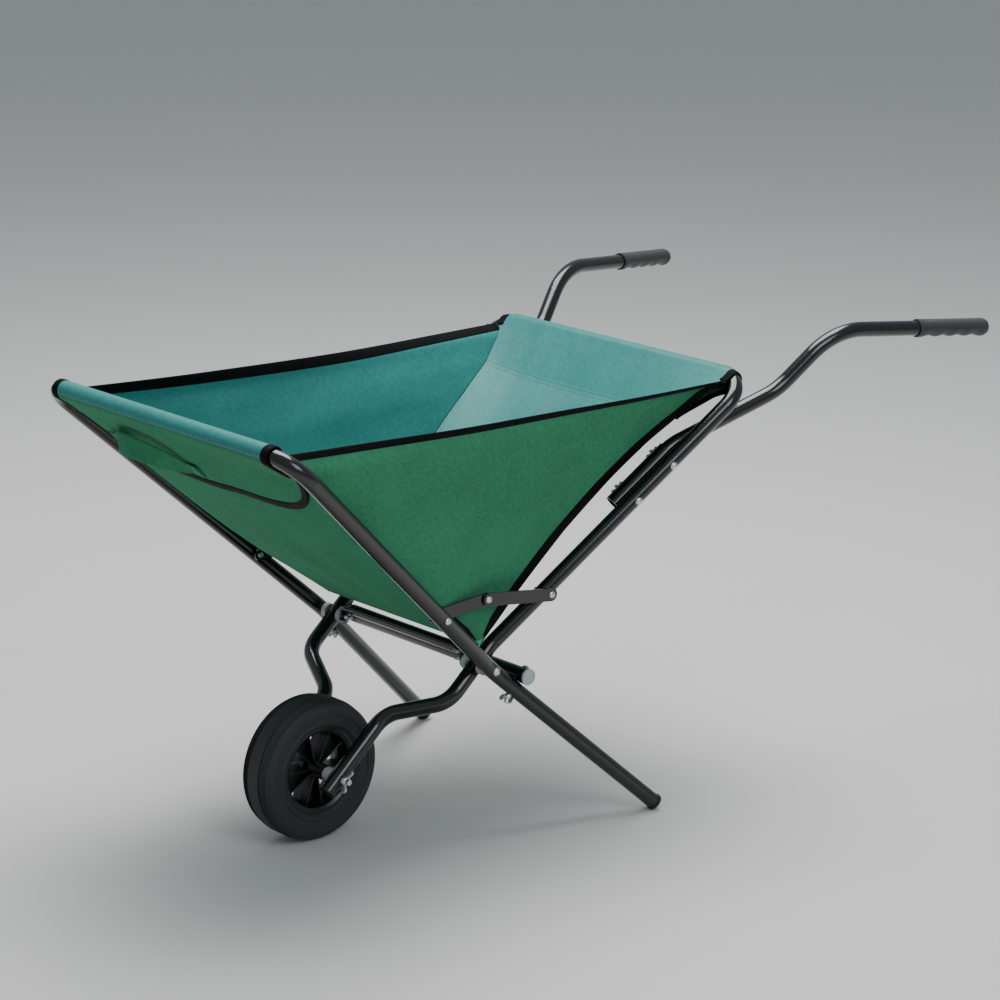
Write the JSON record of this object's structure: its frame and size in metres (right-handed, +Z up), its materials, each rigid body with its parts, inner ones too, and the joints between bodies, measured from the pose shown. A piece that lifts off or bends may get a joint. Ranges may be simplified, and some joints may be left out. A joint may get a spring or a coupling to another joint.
{
  "type": "wheelbarrow",
  "caption": "Folding garden barrow: crossed bent-tube frames with a green fabric bag slung between them, a small front wheel, folding side stays and two bolted-on handles.",
  "frame": {"origin": "on the ground, under the middle of the barrow's bounding box", "axes": "+Z up, +X from the wheel end to the grips, +Y to the barrow's right"},
  "size_m": [1.2588, 0.6774, 0.6551],
  "materials": {
    "tube_paint": "gloss",
    "zinc_steel": "bright zinc plate",
    "grip_rubber": "matte, ribbed",
    "black_plastic": "satin",
    "grey_plastic": "satin",
    "green_fabric": "coated woven sheet with a soft sheen",
    "webbing": "coated woven strap, stitched",
    "tyre": "matte"
  },
  "bodies": {
    "wheel_frame": {"wheel_frame_tube": "tube_paint", "fork_plugs": "black_plastic", "handle_socket_left": "tube_paint", "handle_socket_right": "tube_paint", "handle_tube_left": "tube_paint", "handle_tube_right": "tube_paint", "grip_left": "grip_rubber", "grip_right": "grip_rubber", "handle_bolts": "zinc_steel", "handle_wing_nuts": "zinc_steel", "spreader_bar": "tube_paint", "pivot_spacers_inner": "grey_plastic", "pivot_bolts": "zinc_steel", "pivot_wing_nuts": "zinc_steel", "stay_rear_rivets": "zinc_steel", "axle_bolt": "zinc_steel", "axle_wing_nut": "zinc_steel", "axle_spacers": "grey_plastic", "rear_panel": "green_fabric", "front_panel_lower": "green_fabric", "side_panel_left": "green_fabric", "side_panel_right": "green_fabric"},
    "leg_frame": {"leg_frame_tube": "tube_paint", "foot_caps": "black_plastic", "crossbar": "tube_paint", "crossbar_caps": "grey_plastic", "crossbar_bolts": "zinc_steel", "crossbar_wing_nuts": "zinc_steel", "pivot_spacers_outer": "grey_plastic", "stay_front_rivets": "zinc_steel", "stay_washers": "zinc_steel", "front_panel": "green_fabric", "carry_loop": "webbing"},
    "wheel": {"tyre": "tyre", "wheel_hub": "black_plastic"},
    "front_link_left": {"stay_front_link_left": "tube_paint"},
    "front_link_right": {"stay_front_link_right": "tube_paint"},
    "rear_link_left": {"stay_rear_link_left": "tube_paint", "stay_knee_rivet_left": "zinc_steel"},
    "rear_link_right": {"stay_rear_link_right": "tube_paint", "stay_knee_rivet_right": "zinc_steel"}
  },
  "joints": [
    {"name": "frame_fold", "type": "hinge", "parent": "wheel_frame", "child": "leg_frame", "pos_m": [-0.20977, 0, 0.24645], "axis": [0, 1, 0], "range_deg": [0, 80], "deforming": ["side_panel_left", "side_panel_right", "front_panel_lower"]},
    {"name": "wheel_spin", "type": "hinge", "parent": "wheel_frame", "child": "wheel", "pos_m": [-0.38124, 0, 0.1], "axis": [0, 1, 0], "continuous": true},
    {"name": "front_link_left_turn", "type": "hinge", "parent": "leg_frame", "child": "front_link_left", "pos_m": [-0.31603, -0.1855, 0.34658], "axis": [0, 1, 0], "range_deg": [-138, 0]},
    {"name": "rear_link_left_turn", "type": "hinge", "parent": "wheel_frame", "child": "rear_link_left", "pos_m": [-0.10749, -0.1855, 0.3338], "axis": [0, 1, 0], "range_deg": [0, 93.5]},
    {"name": "front_link_right_turn", "type": "hinge", "parent": "leg_frame", "child": "front_link_right", "pos_m": [-0.31603, 0.1855, 0.34658], "axis": [0, 1, 0], "range_deg": [-138, 0]},
    {"name": "rear_link_right_turn", "type": "hinge", "parent": "wheel_frame", "child": "rear_link_right", "pos_m": [-0.10749, 0.1855, 0.3338], "axis": [0, 1, 0], "range_deg": [0, 93.5]}
  ],
  "couplings": [
    {"joint": "front_link_left_turn", "follows": "frame_fold", "ratio": -1.7171},
    {"joint": "rear_link_left_turn", "follows": "frame_fold", "ratio": 1.1613},
    {"joint": "front_link_right_turn", "follows": "frame_fold", "ratio": -1.7171},
    {"joint": "rear_link_right_turn", "follows": "frame_fold", "ratio": 1.1613}
  ]
}
